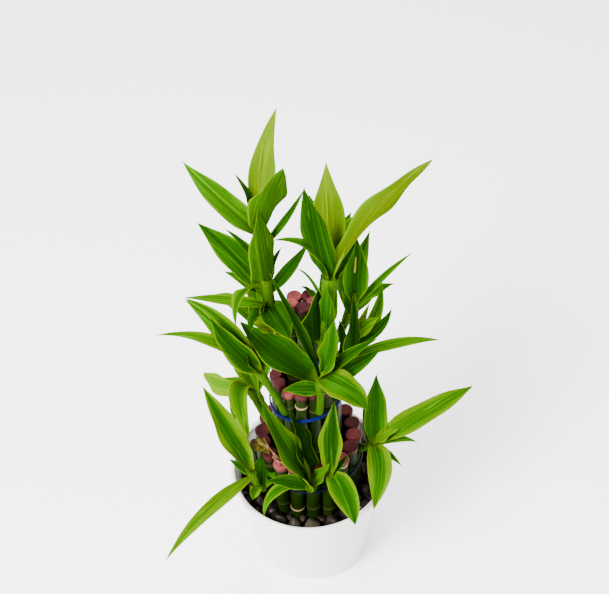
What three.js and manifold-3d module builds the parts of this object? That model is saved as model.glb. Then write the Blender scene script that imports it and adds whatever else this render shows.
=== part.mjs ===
// A three-tier tower of lucky bamboo canes in a white glazed pot, with its leafy side shoots.
// Millimetres, +Z up. The origin is the middle of the pot's flat foot, on the surface it stands on.
// Seen from the front, which is the -Y side: +X is to the right.
import * as THREE from 'three';
import { mergeVertices } from 'three/addons/utils/BufferGeometryUtils.js';
import Module from 'manifold-3d';

const wasm = await Module();
wasm.setup();

// ---- Driving dimensions -------------------------------------------------------------------

const CLEARANCE = 0.3; // gap between neighbouring pieces

const POT = {
  height: 96,
  rimRadius: 62.5,
  neckRadius: 61, // outside of the wall just under the rim
  footRadius: 40, // flat that the pot stands on
  footFillet: 8,
  filletAngles: [20, 45, 70], // where the fillet's corners lie on its quarter round
  filletEnd: 0.98, // how far out the fillet runs into the wall, as a share of its radius
  wall: 3,
  floor: 6,
  floorRound: { width: 5, height: 8 }, // sloped corner between the floor and the inside
  rimBlend: 6, // length over which the wall swells into the rim
  rimDepth: 4, // where the rim's inner edge meets the inside wall
  rim: [[0, 3], [0.6, 0.5], [1.6, 0], [3.2, 0.5]], // [in from the rim radius, down from the top]
  sides: 36,
};

const GRAVEL = {
  level: 80, // top of the packed bed, which the stones stand out of
  holeFloor: 30, // how deep the canes are set
  stoneRings: [
    { radius: 50.5, count: 16, size: 7 },
    { radius: 44, count: 13, size: 5.2 },
  ],
  stoneSquash: 0.7,
  stoneLeast: 0.8, // a stone is stretched by this, and by up to the spread more
  stoneSpread: 0.4,
  stoneTilt: 0.7,
  stoneScatter: 1.5, // how far a stone lies off its ring, in all
  stoneStandOut: 0.25, // how far a stone is raised, as a share of its size
  wallGap: 0.4,
  seed: 20,
};

// One ring of upright canes each. Angles are in degrees from +X, counter-clockwise from above.
// Tops are uneven by up to so much, and the fall is how much lower a cane ends for every
// millimetre that it stands further back.
const TIERS = [
  {
    name: 'outer', count: 18, ring: 35, phase: -87, cane: 5.4,
    top: 134, uneven: 1.1, fall: 0, joint: 88, wax: 6.6,
  },
  {
    name: 'middle', count: 14, ring: 21.5, phase: -100, cane: 4.4,
    top: 204, uneven: 1.1, fall: 0, joint: 191, wax: 5.2,
  },
  {
    name: 'inner', count: 5, ring: 8.5, phase: -88, cane: 4.6,
    top: 280, uneven: 0.1, fall: 0.27, joint: 256, wax: 5.5,
  },
];
const CANE_SIDES = 8;
const JOINT = { bulge: 0.5, halfHeight: 1.6, step: 3 }; // the ring that a cane carries at its node
const STEP_TURN = 2.3; // radians from cane to cane, by which tops and joints go up and down
const WAX_THICKNESS = 3;

const TIES = [
  { name: 'tie_outer', tier: 0, height: 116, slope: 0 },
  { name: 'tie_middle', tier: 1, height: 183, slope: 0.16 },
  { name: 'tie_inner', tier: 2, height: 225, slope: 0 },
];
const TIE = { thickness: 1.6, band: 2.6, sides: 36, reach: 0.25 };

const STEM = { sides: 7, steps: 5, radius: 3.1 };
const LEAF = {
  steps: 24, // short straight steps that a leaf's centre line is laid out with
  hook: 1.3, // how much more a leaf bends towards its tip
  ribThickness: 1.5,
  baseWidth: 0.26, // width at the stem, as a share of the widest
  fold: 0.2, // lift of the margins over the midrib, per unit of half width
  baseFold: 0.6, // extra lift at the stem, where the leaf is a gutter
  widest: 0.8, // power that moves the widest place from the middle towards the stem
  tipTaper: 0.25, // how much narrower than a half sine the tip is drawn
  tipPower: 4,
  basePower: 3,
  foldPower: 4,
  ribTaper: 0.4,
  wave: 0.16, // swell of the margins, up on one side and down on the other
  waves: 2.2,
  waveFrom: 0.2,
  segments: [[60, 6], [42, 4], [0, 3]], // [longer than, pieces its length is split into]
};

// Every leafy shoot: the cane it grows from, three points of its stem (at the cane, halfway bend,
// crown) and its leaves. A leaf row is: how far up the stem it starts (0 to 1), heading and rise of
// its base in degrees, how far it droops from there to the tip in degrees, length, greatest width,
// the turn of the blade about its own midrib and how far it swings sideways to the tip, in degrees.
const SHOOTS = [
  {
    name: 'shoot_upper_left', tier: 2, cane: -160, colour: 0x6fae23,
    stem: [[-12.5, -3.7, 240], [-28, -6, 288], [-24, -8, 358]],
    leaves: [
      [1.00, 83, 74, 22, 78, 17, 5, -31],
      [0.93, 177, 51, 22, 71, 17, -25, -42],
      [0.93, 13, 86, 50, 54, 22, 14, 0],
      [0.90, 148, 85, 24, 56, 13, 0, 20],
      [0.45, 266, 82, 1, 95, 22, 45, -11],
      [0.52, 153, 49, 42, 68, 20, -17, -20],
      [0.70, 150, 58, 18, 40, 6, -11, 21],
      [0.50, 168, 40, 20, 34, 9, -30, 0],
      [0.50, 198, 59, 117, 53, 10, 33, 80],
      [0.85, 17, 45, 0, 50, 5, 48, 27],
      [0.58, 40, 68, 14, 31, 6, 9, -16],
      [0.50, 11, 50, 11, 48, 9, 45, 28],
      [0.40, 187, 24, 14, 61, 8, -44, 0],
      [0.42, 218, 6, 90, 22, 16, 35, 24],
    ],
  },
  {
    name: 'shoot_upper_right', tier: 2, cane: -16, colour: 0x77b52a,
    stem: [[11.7, -5.8, 240], [15.5, -12, 270], [19.6, -13, 315]],
    leaves: [
      [1.00, 87, 67, 6, 77, 25, -21, 8],
      [0.97, 29, 59, 6, 120, 26, -60, -60],
      [0.95, 124, 59, 28, 65, 28, 38, -26],
      [0.85, 173, 95, 93, 71, 10, -27, 21],
      [0.90, 30, 53, 12, 38, 6, 24, 16],
      [0.12, 287, 74, -8, 70, 15, -47, -4],
      [0.10, 243, 69, -17, 56, 17, 50, 0],
      [0.75, 176, 54, 114, 28, 3, 0, -34],
      [0.85, 168, 52, 102, 35, 3, 12, -43],
    ],
  },
  {
    name: 'shoot_right', tier: 1, cane: 2.9, colour: 0x5c9a1f,
    stem: [[25.9, 1.5, 194], [35, 3, 206], [36, 3, 282]],
    leaves: [
      [0.95, 70, 80, 15, 48, 18, 12, 13],
      [0.90, 20, 50, 24, 59, 5, 49, 0],
      [0.85, 131, 60, 20, 19, 9, -20, 0],
      [0.50, 21, 39, -2, 59, 10, 20, 69],
      [0.60, 346, 32, 7, 41, 9, 39, 80],
      [0.66, 6, 48, 12, 26, 11, 35, 0],
      [0.45, 1, 24, 53, 71, 8, 43, 16],
      [0.30, 57, 63, 16, 52, 9, 24, -10],
      [0.24, 300, 73, -26, 86, 13, -4, 8],
    ],
  },
  {
    name: 'shoot_front_upper', tier: 1, cane: -74.3, colour: 0x4f9a1c,
    stem: [[8.9, -24.4, 189], [10.5, -31, 212], [9.5, -36, 241]],
    leaves: [
      [0.90, 161, 28, 16, 71, 28, 0, -30],
      [0.85, 162, 79, 33, 96, 10, 10, -35],
      [0.90, 15, 66, -8, 50, 24, -27, 75],
      [1.00, 318, 15, 90, 46, 22, 10, 30],
      [0.70, 195, 30, 25, 29, 11, -40, 0],
      [0.95, 12, 48, 19, 54, 8, 32, -10],
      [0.85, 6, 27, 16, 50, 13, 44, 25],
    ],
  },
  {
    name: 'shoot_left', tier: 1, cane: 234.3, colour: 0x8bbf33,
    stem: [[-15.8, -20.8, 186], [-21, -24, 207], [-32, -27, 240]],
    leaves: [
      [1.00, 135, 58, 54, 75, 11, -39, 19],
      [0.95, 146, 50, 56, 78, 16, -40, -12],
      [0.98, 186, 57, 19, 56, 18, -61, -61],
      [0.90, 160, 53, 48, 86, 10, -21, 34],
    ],
  },
  {
    name: 'shoot_left_low', tier: 1, cane: 208.6, colour: 0xa4cf3a,
    stem: [[-25, -13, 158], [-33, -12, 175], [-41, -13, 207]],
    leaves: [
      [1.00, 195, 14, 45, 44, 18, -76, -91],
      [0.95, 227, 68, 166, 68, 14, 0, 89],
    ],
  },
  {
    name: 'shoot_rim_left', tier: 0, cane: -147, colour: 0x8cc22f,
    stem: [[-34.2, -22.2, 106], [-37, -38, 106], [-44, -30, 130]],
    leaves: [
      [1.00, 143, 61, 22, 77, 23, 8, -19],
      [0.90, 224, 15, 55, 96, 11, -40, 0],
      [0.90, 157, 37, 18, 23, 6, -27, -7],
      [0.30, 245, 83, 4, 42, 17, -10, 0],
      [0.60, 240, 0, 60, 12, 9, 0, 0],
    ],
  },
  {
    name: 'shoot_front', tier: 0, cane: -87, colour: 0x6cb125,
    stem: [[1.8, -40.2, 122], [0.8, -46, 126], [0, -51.5, 135]],
    leaves: [
      [1.00, 144, 58, 12, 79, 21, 0, -22],
      [0.95, 84, 71, 11, 69, 19, -27, 69],
      [1.00, 50, 37, 31, 24, 12, 10, -5],
      [0.90, 126, 43, 33, 24, 8, -25, 20],
      [0.70, 169, 27, 55, 35, 11, -23, 0],
      [0.50, 161, 16, 110, 54, 9, -6, 77],
    ],
  },
  {
    name: 'shoot_front_right', tier: 0, cane: -67, colour: 0x74b826,
    stem: [[15.8, -37.2, 123], [16.5, -43, 130], [15.5, -46, 145]],
    leaves: [
      [1.00, 83, 68, 8, 58, 19, -21, -6],
      [0.90, 293, 26, 112, 49, 19, 11, 3],
      [0.90, 27, 41, 8, 20, 5, 20, 11],
    ],
  },
  {
    name: 'shoot_rim_right', tier: 0, cane: -7, colour: 0x7dbb2c,
    stem: [[39.5, -7, 122], [43.5, -10.5, 128], [49, -15, 137]],
    leaves: [
      [1.00, 83, 60, 13, 55, 20, 25, 0],
      [1.00, 4, 38, 62, 97, 19, 10, 42],
      [0.90, 14, 38, 21, 24, 9, 28, 3],
      [0.90, 5, 30, 37, 37, 7, 33, -31],
      [0.80, 324, 15, 42, 31, 6, 38, -12],
      [0.95, 288, 20, 83, 58, 19, -4, -46],
      [0.70, 98, 67, 9, 45, 7, 4, 0],
    ],
  },
  {
    name: 'shoot_upper_back', tier: 2, cane: 56, colour: 0x5fa01f,
    stem: [[7.2, 10.8, 246], [15, 20, 268], [20, 27, 296]],
    leaves: [
      [1.00, 90, 62, 25, 48, 14, 0, 0],
      [0.97, 25, 52, 30, 50, 14, 10, 0],
      [0.94, 113, 53, 27, 48, 13, -12, -7],
      [0.70, 66, 37, 35, 54, 13, 2, -3],
    ],
  },
  {
    name: 'shoot_back_right', tier: 1, cane: 54.3, colour: 0x6aaa24,
    stem: [[15.4, 21.4, 194], [26, 32, 204], [35, 40, 230]],
    leaves: [
      [1.00, 60, 68, 25, 60, 15, 0, 0],
      [0.96, -2, 52, 30, 43, 14, 11, 0],
      [0.92, 95, 50, 40, 60, 14, 0, 0],
      [0.70, 45, 31, 51, 50, 12, -8, 0],
    ],
  },
  {
    name: 'shoot_back_left', tier: 1, cane: 131.4, colour: 0x5c9c20,
    stem: [[-17.4, 19.7, 192], [-27, 31, 200], [-31, 38, 230]],
    leaves: [
      [1.00, 115, 68, 25, 60, 15, 0, 0],
      [0.96, 183, 50, 41, 46, 14, -7, -4],
      [0.92, 85, 50, 40, 60, 14, 0, 0],
      [0.70, 140, 34, 50, 52, 12, 0, 0],
    ],
  },
  {
    name: 'shoot_rim_back_right', tier: 0, cane: 73, colour: 0x86c02c,
    stem: [[12, 39, 122], [15, 46, 124], [18, 51, 137]],
    leaves: [
      [1.00, 87, 60, 34, 67, 17, -5, 0],
      [0.95, 30, 45, 40, 56, 14, 0, 0],
      [0.95, 112, 50, 40, 56, 14, 0, 0],
      [0.80, 60, 20, 60, 60, 15, 0, 0],
    ],
  },
  {
    name: 'shoot_rim_back_left', tier: 0, cane: 133, colour: 0x77b428,
    stem: [[-28.1, 30.2, 122], [-34, 37, 124], [-39, 43, 135]],
    leaves: [
      [1.00, 130, 60, 30, 66, 16, 0, 0],
      [0.95, 181, 38, 23, 42, 14, -7, 0],
      [0.95, 72, 44, 40, 55, 14, -4, 0],
      [0.80, 118, 23, 64, 58, 14, 8, 0],
    ],
  },
];

// ---- Solids -------------------------------------------------------------------------------

function toSolid(geometry) {
  const bare = geometry.index ? geometry.toNonIndexed() : geometry.clone();
  bare.deleteAttribute('normal');
  bare.deleteAttribute('uv');
  const merged = mergeVertices(bare, 1e-4);
  return new wasm.Manifold(new wasm.Mesh({
    numProp: 3,
    vertProperties: new Float32Array(merged.attributes.position.array),
    triVerts: new Uint32Array(merged.index.array),
  }));
}

function toMesh(name, solid, material) {
  const { vertProperties, triVerts } = solid.getMesh();
  const geometry = new THREE.BufferGeometry();
  geometry.setAttribute('position', new THREE.BufferAttribute(vertProperties, 3));
  geometry.setIndex(new THREE.BufferAttribute(triVerts, 1));
  const mesh = new THREE.Mesh(geometry.toNonIndexed(), material);
  mesh.geometry.computeVertexNormals();
  mesh.name = name;
  return mesh;
}

function join(solids) {
  return solids.reduce((whole, piece) => whole.add(piece));
}

// The one connected body: scraps that a cut leaves loose and hollows that a joint seals go.
function mainBody(solid) {
  return solid.decompose().reduce((main, piece) => (piece.volume() > main.volume() ? piece : main));
}

// A profile of [radius, height] pairs turned about the Z axis.
function turned(profile, sides, firstAngle = 0) {
  const points = profile.map(([r, z]) => new THREE.Vector2(r, z));
  return new THREE.LatheGeometry(points, sides, firstAngle).rotateX(Math.PI / 2);
}

const radians = THREE.MathUtils.degToRad;

function seededRandom(seed) {
  let state = seed;
  return () => {
    state = (state * 16807) % 2147483647;
    return state / 2147483647;
  };
}

// ---- Pot and gravel -----------------------------------------------------------------------

// Outside radius of the wall: a straight taper from the fillet to the neck.
function potRadius(z) {
  const t = (z - POT.footFillet) / (POT.height - POT.footFillet);
  const bottom = POT.footRadius + POT.footFillet * POT.filletEnd;
  return bottom + (POT.neckRadius - bottom) * t;
}

function potSolid() {
  const { height, rimRadius, footRadius, footFillet, wall, floor, floorRound } = POT;
  const inside = (z) => potRadius(z) - wall;
  const fillet = POT.filletAngles.map((degrees) => {
    const a = radians(degrees);
    return [footRadius + footFillet * Math.sin(a), footFillet * (1 - Math.cos(a))];
  });
  const corner = floor + floorRound.height;
  const profile = [
    [0, 0],
    [footRadius, 0],
    ...fillet,
    [potRadius(footFillet), footFillet],
    [potRadius(height - POT.rimBlend), height - POT.rimBlend],
    ...POT.rim.map(([inwards, down]) => [rimRadius - inwards, height - down]),
    [inside(height - POT.rimDepth), height - POT.rimDepth],
    [inside(corner), corner],
    [inside(corner) - floorRound.width, floor],
    [0, floor],
  ];
  return toSolid(turned(profile, POT.sides));
}

// The space inside the pot, drawn in by a gap, from its floor to the rim.
function potSpace(gap) {
  const inside = (z) => potRadius(z) - POT.wall - gap;
  const bottom = POT.floor + gap;
  const corner = bottom + POT.floorRound.height;
  return [
    [0, bottom],
    [inside(corner) - POT.floorRound.width, bottom],
    [inside(corner), corner],
    [inside(POT.height), POT.height],
    [0, POT.height],
  ];
}

function stoneSolid(random, ringRadius, angle, size) {
  const stone = new THREE.IcosahedronGeometry(1, 0);
  const stretch = () => size * (GRAVEL.stoneLeast + GRAVEL.stoneSpread * random());
  stone.scale(stretch(), stretch(), size * GRAVEL.stoneSquash);
  stone.rotateX(GRAVEL.stoneTilt * (random() - 0.5));
  stone.rotateZ(Math.PI * random());
  const radius = ringRadius + GRAVEL.stoneScatter * (random() - 0.5);
  const height = GRAVEL.level + size * GRAVEL.stoneStandOut * random();
  stone.translate(radius * Math.cos(angle), radius * Math.sin(angle), height);
  return toSolid(stone);
}

function gravelSolid(holes) {
  const random = seededRandom(GRAVEL.seed);
  const space = potSpace(GRAVEL.wallGap);
  const bed = [...space.slice(0, 3), [potRadius(GRAVEL.level) - POT.wall - GRAVEL.wallGap, GRAVEL.level]];
  const pieces = [toSolid(turned([...bed, [0, GRAVEL.level]], POT.sides))];
  for (const { radius, count, size } of GRAVEL.stoneRings) {
    for (let i = 0; i < count; i += 1) {
      const angle = (2 * Math.PI * (i + GRAVEL.stoneSpread * random())) / count;
      pieces.push(stoneSolid(random, radius, angle, size));
    }
  }
  const bedded = join(pieces).intersect(toSolid(turned(space, POT.sides)));
  return mainBody(bedded.subtract(join(holes)));
}

// ---- Canes, wax and ties ------------------------------------------------------------------

// The rings of a tier stand on a circle, each cane with a flat side towards its neighbours.
function canePlace(tier, index) {
  const degrees = tier.phase + (360 * index) / tier.count;
  const angle = radians(degrees);
  const y = tier.ring * Math.sin(angle);
  const step = STEP_TURN * index;
  return {
    degrees,
    turn: angle + Math.PI / CANE_SIDES,
    x: tier.ring * Math.cos(angle),
    y,
    top: tier.top + tier.uneven * Math.sin(step) - tier.fall * (y + tier.ring),
    joint: tier.joint + JOINT.step * Math.cos(step),
  };
}

function standing(profile, place) {
  const geometry = turned(profile, CANE_SIDES);
  geometry.rotateZ(place.turn);
  geometry.translate(place.x, place.y, 0);
  return toSolid(geometry);
}

function caneSolid(tier, place) {
  const bottom = GRAVEL.holeFloor + CLEARANCE;
  const { joint, top } = place;
  const profile = [
    [0, bottom],
    [tier.cane, bottom],
    [tier.cane, joint - JOINT.halfHeight],
    [tier.cane + JOINT.bulge, joint],
    [tier.cane, joint + JOINT.halfHeight],
    [tier.cane, top],
    [0, top],
  ];
  return standing(profile, place);
}

function prismSolid(radius, bottom, top, place) {
  return standing([[0, bottom], [radius, bottom], [radius, top], [0, top]], place);
}

function waxSolid(tier, place) {
  const bottom = place.top + CLEARANCE;
  return prismSolid(tier.wax, bottom, bottom + WAX_THICKNESS, place);
}

function tieSolid({ tier, height, slope }) {
  const inner = TIERS[tier].ring + TIERS[tier].cane + TIE.reach;
  const outer = inner + TIE.thickness;
  const half = TIE.band / 2;
  const profile = [[inner, -half], [outer, -half], [outer, half], [inner, half], [inner, -half]];
  const geometry = turned(profile, TIE.sides);
  geometry.applyMatrix4(new THREE.Matrix4().set(
    1, 0, 0, 0,
    0, 1, 0, 0,
    slope, 0, 1, height,
    0, 0, 0, 1,
  ));
  return toSolid(geometry);
}

// ---- Leafy shoots -------------------------------------------------------------------------

// Half width of a blade along its length, as a share of the greatest: a narrow gutter at the stem,
// widest a little before the middle, and drawn out to a point.
function bladeShape(s) {
  const blade = Math.sin(Math.PI * s ** LEAF.widest) * (1 - LEAF.tipTaper * s ** LEAF.tipPower);
  const base = LEAF.baseWidth * (1 - s) ** LEAF.basePower;
  return Math.hypot(Math.max(blade, 0), base);
}

// The centre line of a leaf, with the directions along it, across the blade and out of its face.
function leafLine(start, [, heading, rise, droop, length, , turn, swing]) {
  const towards = (s) => radians(heading + swing * s);
  const level = (angle) => new THREE.Vector3(Math.cos(angle), Math.sin(angle), 0);
  const direction = (s) => {
    const up = radians(rise - droop * s ** LEAF.hook);
    return level(towards(s)).multiplyScalar(Math.cos(up)).setZ(Math.sin(up));
  };
  const centre = start.clone();
  const line = [];
  for (let i = 0; i <= LEAF.steps; i += 1) {
    const s = i / LEAF.steps;
    const along = direction(s);
    const across = level(towards(s) + Math.PI / 2);
    const side = across.applyAxisAngle(along, radians(turn));
    line.push({ s, centre: centre.clone(), side, face: along.clone().cross(side) });
    centre.addScaledVector(direction(s + 0.5 / LEAF.steps), length / LEAF.steps);
  }
  return line;
}

function leafSolid(start, row) {
  const [, heading, , , length, width] = row;
  const line = leafLine(start, row);
  const segments = LEAF.segments.find(([least]) => length > least)[1];
  const points = [];
  for (let i = 0; i < segments; i += 1) {
    const { s, centre, side, face } = line[(i * LEAF.steps) / segments];
    const half = 0.5 * width * bladeShape(s);
    const lift = half * (LEAF.fold + LEAF.baseFold * (1 - s) ** LEAF.foldPower);
    const wave = Math.sin(2 * Math.PI * LEAF.waves * s + heading) * (s > LEAF.waveFrom);
    const swell = half * LEAF.wave * wave;
    const rib = 0.5 * LEAF.ribThickness * (1 - LEAF.ribTaper * s);
    const at = (across, out) => centre.clone().addScaledVector(side, across).addScaledVector(face, out);
    points.push(at(half, lift + swell), at(0, rib), at(-half, lift - swell), at(0, -rib));
  }
  points.push(line[LEAF.steps].centre);
  const faces = [0, 2, 1, 0, 3, 2];
  for (let ring = 0; ring < segments - 1; ring += 1) {
    for (let corner = 0; corner < 4; corner += 1) {
      const a = 4 * ring + corner;
      const b = 4 * ring + ((corner + 1) % 4);
      // Both halves of the blade are split from the rib outwards, alike above and below.
      if (corner % 2 === 0) faces.push(a, b, b + 4, a, b + 4, a + 4);
      else faces.push(a, b, a + 4, b, b + 4, a + 4);
    }
  }
  const last = 4 * (segments - 1);
  const tip = points.length - 1;
  for (let corner = 0; corner < 4; corner += 1) {
    faces.push(last + corner, last + ((corner + 1) % 4), tip);
  }
  const geometry = new THREE.BufferGeometry().setFromPoints(points);
  geometry.setIndex(faces);
  return toSolid(geometry);
}

function stemSolid(curve) {
  const corners = [];
  for (let i = 0; i < STEM.sides; i += 1) {
    const angle = (2 * Math.PI * i) / STEM.sides;
    corners.push(new THREE.Vector2(STEM.radius * Math.cos(angle), STEM.radius * Math.sin(angle)));
  }
  const section = new THREE.Shape(corners);
  return toSolid(new THREE.ExtrudeGeometry(section, { steps: STEM.steps, extrudePath: curve }));
}

function shootSolid({ tier, cane, stem, leaves }) {
  const [foot, bend, crown] = stem.map((point) => new THREE.Vector3(...point));
  const curve = new THREE.QuadraticBezierCurve3(foot, bend, crown);
  const pieces = leaves.map((row) => leafSolid(curve.getPoint(row[0]), row));
  // The stem starts against its cane, so what would reach into that cane and its neighbours is cut.
  const ring = TIERS[tier];
  const index = Math.round(((cane - ring.phase) * ring.count) / 360);
  const near = [index - 1, index, index + 1].map((i) => {
    const place = canePlace(ring, (i + ring.count) % ring.count);
    return caneSolid({ cane: ring.cane + CLEARANCE }, place);
  });
  return mainBody(join([stemSolid(curve), ...pieces]).subtract(join(near)));
}

// ---- The whole plant in its pot -----------------------------------------------------------

const materials = {
  pot: { color: 0xf2f1ec, roughness: 0.16, metalness: 0 },
  gravel: { color: 0x2b2421, roughness: 0.85, metalness: 0 },
  cane: { color: 0x2f5a1d, roughness: 0.42, metalness: 0 },
  wax: { color: 0x9c4a50, roughness: 0.5, metalness: 0 },
  tie: { color: 0x1d2fa8, roughness: 0.35, metalness: 0 },
};
const finish = (name) => new THREE.MeshStandardMaterial(materials[name]);

const plant = new THREE.Group();
plant.add(toMesh('pot', potSolid(), finish('pot')));

const holes = [];
for (const tier of TIERS) {
  const caps = [];
  for (let i = 0; i < tier.count; i += 1) {
    const place = canePlace(tier, i);
    const number = String(i + 1).padStart(2, '0');
    plant.add(toMesh(`cane_${tier.name}_${number}`, caneSolid(tier, place), finish('cane')));
    holes.push(prismSolid(tier.cane + CLEARANCE, GRAVEL.holeFloor, POT.height, place));
    caps.push(waxSolid(tier, place));
  }
  plant.add(toMesh(`wax_tips_${tier.name}`, join(caps), finish('wax')));
}
plant.add(toMesh('gravel_bed', gravelSolid(holes), finish('gravel')));

for (const tie of TIES) {
  plant.add(toMesh(tie.name, tieSolid(tie), finish('tie')));
}

for (const shoot of SHOOTS) {
  const material = new THREE.MeshStandardMaterial({ color: shoot.colour, roughness: 0.45 });
  plant.add(toMesh(shoot.name, shootSolid(shoot), material));
}

export default plant;
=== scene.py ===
import math
import bmesh
import bpy
import numpy as np
from mathutils import Matrix, Vector


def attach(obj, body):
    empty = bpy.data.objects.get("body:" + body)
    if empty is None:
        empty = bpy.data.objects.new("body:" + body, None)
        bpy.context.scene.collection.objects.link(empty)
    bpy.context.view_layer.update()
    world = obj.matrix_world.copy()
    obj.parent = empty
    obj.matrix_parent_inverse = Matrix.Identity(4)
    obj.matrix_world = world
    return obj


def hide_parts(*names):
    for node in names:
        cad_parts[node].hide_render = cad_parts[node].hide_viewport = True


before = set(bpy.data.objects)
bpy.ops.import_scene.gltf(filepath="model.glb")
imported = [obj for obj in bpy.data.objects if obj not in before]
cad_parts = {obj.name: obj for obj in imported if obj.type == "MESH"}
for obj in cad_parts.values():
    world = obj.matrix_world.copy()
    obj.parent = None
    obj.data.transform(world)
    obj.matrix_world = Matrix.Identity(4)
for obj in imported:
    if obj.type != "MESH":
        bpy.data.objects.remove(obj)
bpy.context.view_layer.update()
print("stage 1: frame loaded,", len(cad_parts), "nodes")

mm = 0.001  # the tables below are in millimetres, the scene is in metres


# small makers that every piece uses

def unit(vectors):
    # each vector divided by its length
    return vectors / np.linalg.norm(vectors, axis=-1, keepdims=True)


def gridFaces(rows, columns):
    # four-sided faces of a grid of points whose last column joins the first
    row, column = np.meshgrid(np.arange(rows - 1), np.arange(columns), indexing="ij")
    after = (column + 1) % columns
    corners = np.stack([row * columns + column, row * columns + after,
                        (row + 1) * columns + after, (row + 1) * columns + column], -1)
    return corners.reshape(-1, 4)


def fanFaces(ring, middle):
    # three-sided faces from a ring of points to one middle point
    return np.stack([ring, np.roll(ring, -1), np.full(len(ring), middle)], -1)


def shellFaces(rows, columns):
    # the faces of such a grid, closed by a fan at either end; the points that the fans run to, the first
    # row's and then the last row's, come after the grid's own
    count, ring = rows * columns, np.arange(columns)
    return [gridFaces(rows, columns), fanFaces(ring, count)[:, ::-1],
            fanFaces(ring + count - columns, count + 1)]


def fullTurn(sides):
    # evenly spaced angles once round
    return np.linspace(0, 2 * np.pi, sides, endpoint=False)


def joinSurfaces(surfaces):
    # surfaces is [(points, [face arrays], {name: values})]; they become one set, and the faces of each
    # count on from the points before it
    points, faces, values, first = [], [], {}, 0
    for place, corners, marks in surfaces:
        points.append(place)
        faces += [corner + first for corner in corners]
        for name, numbers in marks.items():
            values.setdefault(name, []).append(np.broadcast_to(numbers, len(place)))
        first += len(place)
    return np.concatenate(points), faces, {name: np.concatenate(rows) for name, rows in values.items()}


def outward(surface):
    # adds up first . (second x third) over the triangles of a closed surface, which is six times its
    # volume, and turns its faces over where that is negative
    points, faces, marks = surface
    volume = 0
    for corners in faces:
        first = points[corners[:, 0]]
        for k in range(1, corners.shape[1] - 1):
            across = np.cross(points[corners[:, k]], points[corners[:, k + 1]])
            volume += np.einsum("ij,ij->i", first, across).sum()
    return points, [corners[:, ::-1] for corners in faces] if volume < 0 else faces, marks


def makePiece(name, surfaces, material, replaced=()):
    # joins the surfaces into one smooth mesh in metres, which keeps their values point by point
    points, faces, values = joinSurfaces([outward(surface) for surface in surfaces])
    mesh = bpy.data.meshes.new(name)
    mesh.from_pydata((points * mm).tolist(), [], [face for block in faces for face in block.tolist()])
    mesh.polygons.foreach_set("use_smooth", np.full(len(mesh.polygons), True))
    for label, numbers in values.items():
        layer = mesh.attributes.new(label, "FLOAT", "POINT")
        layer.data.foreach_set("value", numbers.astype(np.float32))
    mesh.materials.append(material)
    mesh.update()
    piece = bpy.data.objects.new(name, mesh)
    bpy.context.scene.collection.objects.link(piece)
    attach(piece, "root")
    if replaced:
        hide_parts(*replaced)


def latheSurface(profile, sides, middle=(0, 0)):
    # a closed outline of (radius, height) rows that starts and ends on the axis, turned about it
    radius, height = np.array(profile[1:-1], float).T
    angle = fullTurn(sides)
    ring = np.stack([np.outer(radius, np.cos(angle)) + middle[0],
                     np.outer(radius, np.sin(angle)) + middle[1],
                     np.repeat(height[:, None], sides, 1)], -1).reshape(-1, 3)
    ends = np.array([[*middle, profile[0][1]], [*middle, profile[-1][1]]], float)
    return np.concatenate([ring, ends]), shellFaces(len(radius), sides), {}


def tubeSurface(path, radius, sides, across):
    # a round section carried along a path: radius times cosine to its side, less radius times sine upwards;
    # across is a direction that the path never takes
    along = unit(np.gradient(path, axis=0))
    side = unit(np.cross(along, across))
    lift = np.cross(side, along)
    angle = fullTurn(sides)
    radius = np.broadcast_to(radius, len(path))[:, None, None]
    section = side[:, None] * np.cos(angle)[:, None] - lift[:, None] * np.sin(angle)[:, None]
    ring = path[:, None] + radius * section
    points = np.concatenate([ring.reshape(-1, 3), path[:1], path[-1:]])
    return points, shellFaces(len(path), sides), {}


# small makers for the materials

def newMaterial(name, roughness=0.5, **sockets):
    # a fresh material with its sockets set; a keyword has _ where the socket's name has a space
    material = bpy.data.materials.new(name)
    material.use_nodes = True
    tree = material.node_tree
    shader = tree.nodes["Principled BSDF"]
    shader.inputs["Roughness"].default_value = roughness
    for label, value in sockets.items():
        shader.inputs[label.replace("_", " ")].default_value = value
    return material, tree, shader


def feed(tree, socket, value):
    # links the socket to another node's output, or sets it to a plain value
    if isinstance(value, bpy.types.NodeSocket):
        tree.links.new(value, socket)
    else:
        socket.default_value = value


def maths(tree, operation, *values):
    # the operation on one or two values
    node = tree.nodes.new("ShaderNodeMath")
    node.operation = operation
    for socket, value in zip(node.inputs, values):
        feed(tree, socket, value)
    return node.outputs[0]


def times(tree, first, second):
    # first x second
    return maths(tree, "MULTIPLY", first, second)


def plus(tree, first, second):
    # first + second
    return maths(tree, "ADD", first, second)


def awayFrom(tree, value, middle):
    # |value - middle|
    return maths(tree, "ABSOLUTE", maths(tree, "SUBTRACT", value, middle))


def sway(tree, value, amount):
    # (value - 0.5) x amount: a noise value turned into a push to either side of nought
    return times(tree, maths(tree, "SUBTRACT", value, 0.5), amount)


def mark(tree, name):
    # the value that the piece keeps under this name, point by point
    node = tree.nodes.new("ShaderNodeAttribute")
    node.attribute_name = name
    return node.outputs["Fac"]


def vector(tree, x, y, z):
    # three values as one place
    node = tree.nodes.new("ShaderNodeCombineXYZ")
    for socket, value in zip(node.inputs, (x, y, z)):
        feed(tree, socket, value)
    return node.outputs[0]


def objectPlace(tree):
    # the place on the piece, in metres
    return tree.nodes.new("ShaderNodeTexCoord").outputs["Object"]


def squeezed(tree, place, scale):
    # the place with its height scaled down, so that a noise on it runs in upright streaks
    node = tree.nodes.new("ShaderNodeMapping")
    node.inputs["Scale"].default_value = (1, 1, scale)
    feed(tree, node.inputs["Vector"], place)
    return node.outputs[0]


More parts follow.
